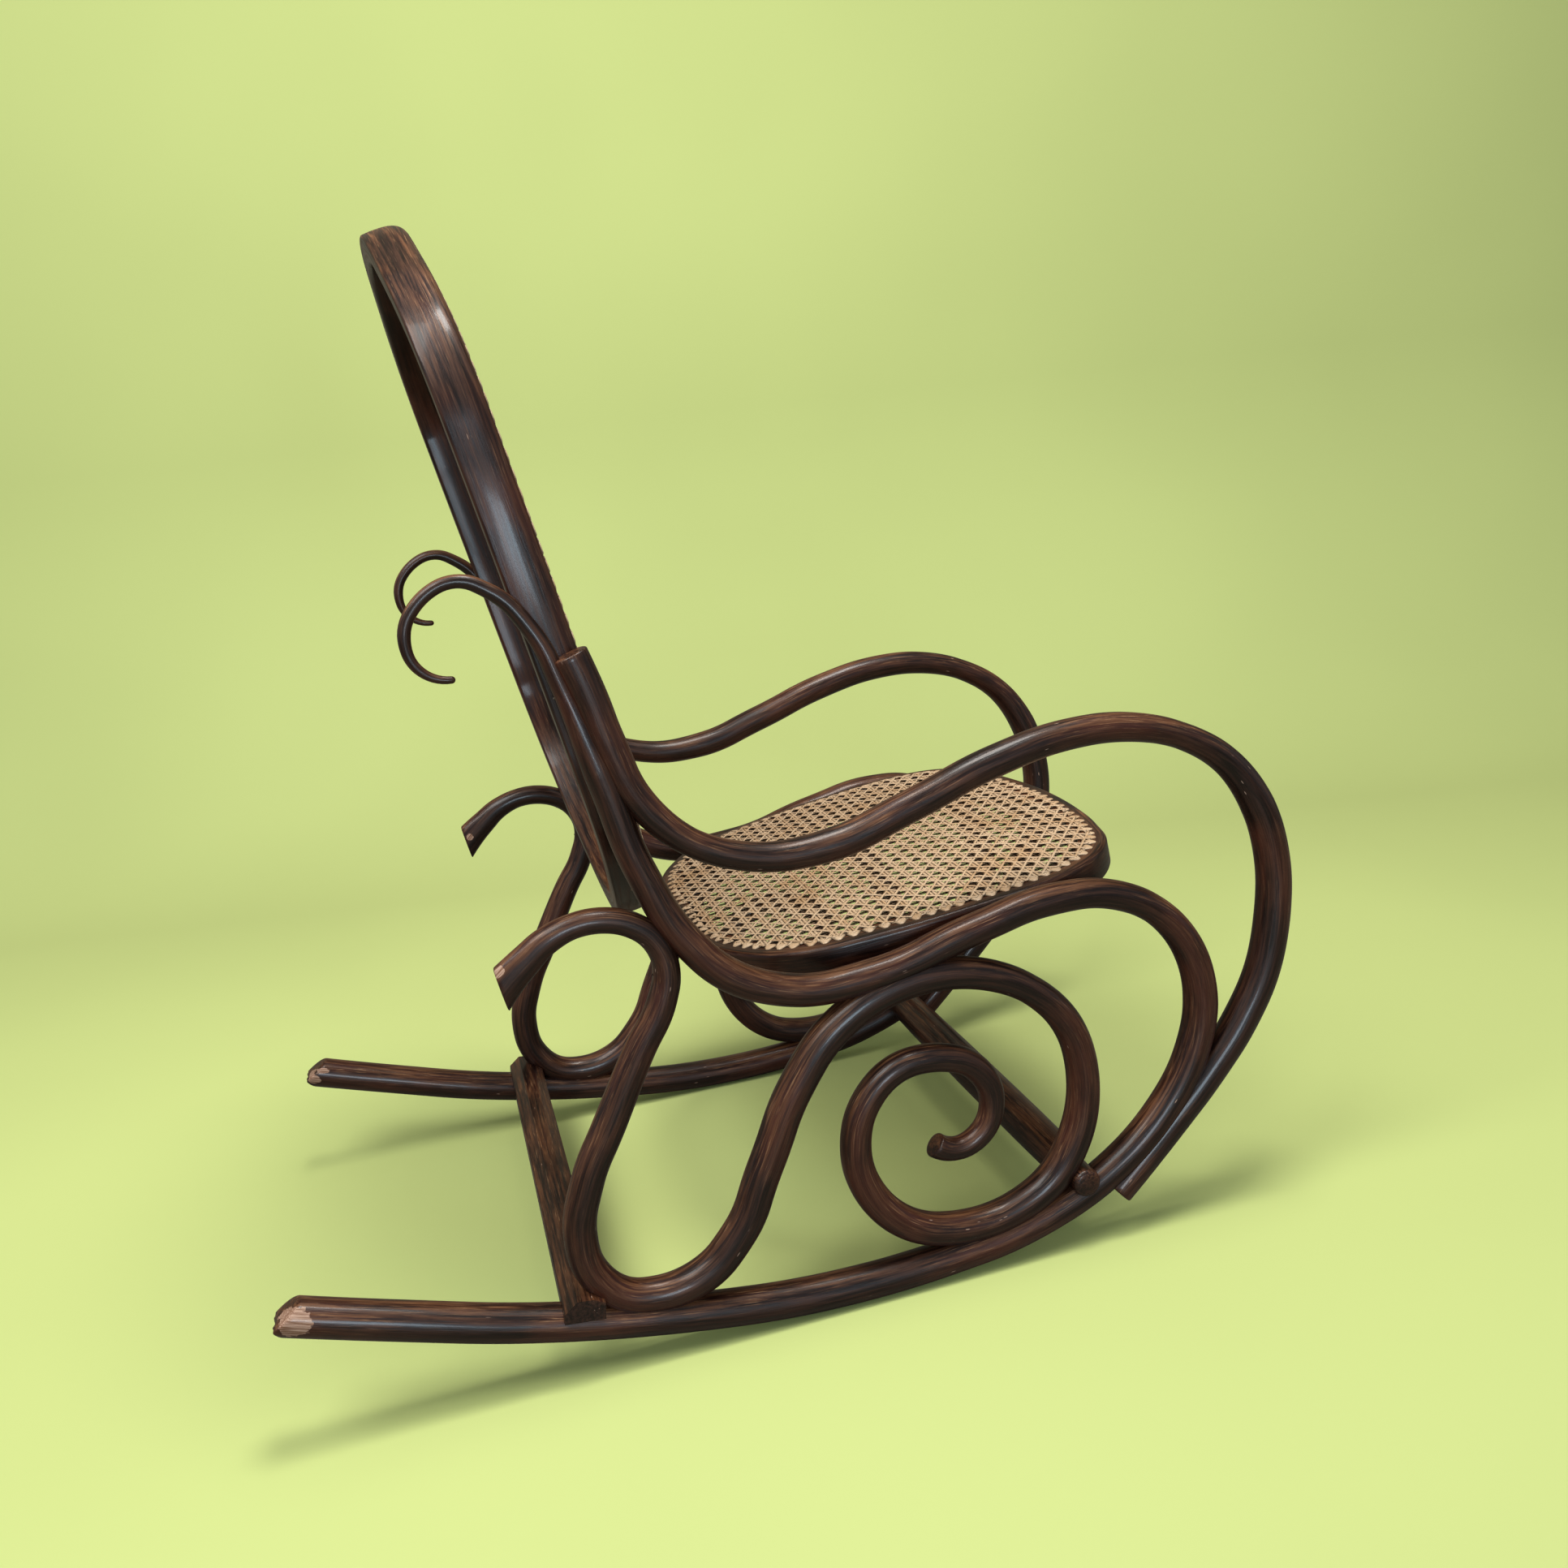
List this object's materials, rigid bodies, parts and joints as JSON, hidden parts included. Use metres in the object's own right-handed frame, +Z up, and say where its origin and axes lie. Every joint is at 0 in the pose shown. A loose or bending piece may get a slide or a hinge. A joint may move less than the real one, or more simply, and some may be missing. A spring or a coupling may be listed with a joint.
{
  "type": "rocking chair",
  "caption": "Bentwood rocking chair with curled scroll supports, looping arms and rockers, a caned oval back and a caned seat.",
  "frame": {"origin": "centre of the bounding box's underside, on the floor, with the empty chair at its angle of rest", "axes": "+X to the front of the chair, +Y to the left of someone sitting in it, +Z up"},
  "size_m": [0.9756, 0.55, 1.0044],
  "materials": {
    "varnished_wood": "dark reddish brown varnish, worn golden brown on the upper sides",
    "cane": "natural cane, satin, stained in places",
    "screw_steel": "aged dark steel"
  },
  "bodies": {
    "root": {"right_runner": "varnished_wood", "left_runner": "varnished_wood", "right_arm": "varnished_wood", "left_arm": "varnished_wood", "right_scroll_support": "varnished_wood", "left_scroll_support": "varnished_wood", "front_stretcher": "varnished_wood", "rear_stretcher": "varnished_wood", "back_hoop": "varnished_wood", "seat_frame": "varnished_wood", "back_cane": "cane", "seat_cane": "cane", "arm_top_screws": "screw_steel", "arm_foot_screws": "screw_steel", "support_foot_screws": "screw_steel", "support_rail_screws": "screw_steel", "small_loop_screws": "screw_steel", "front_stretcher_screws": "screw_steel", "rear_stretcher_screws": "screw_steel", "hoop_screws": "screw_steel", "seat_screws": "screw_steel"}
  },
  "joints": []
}
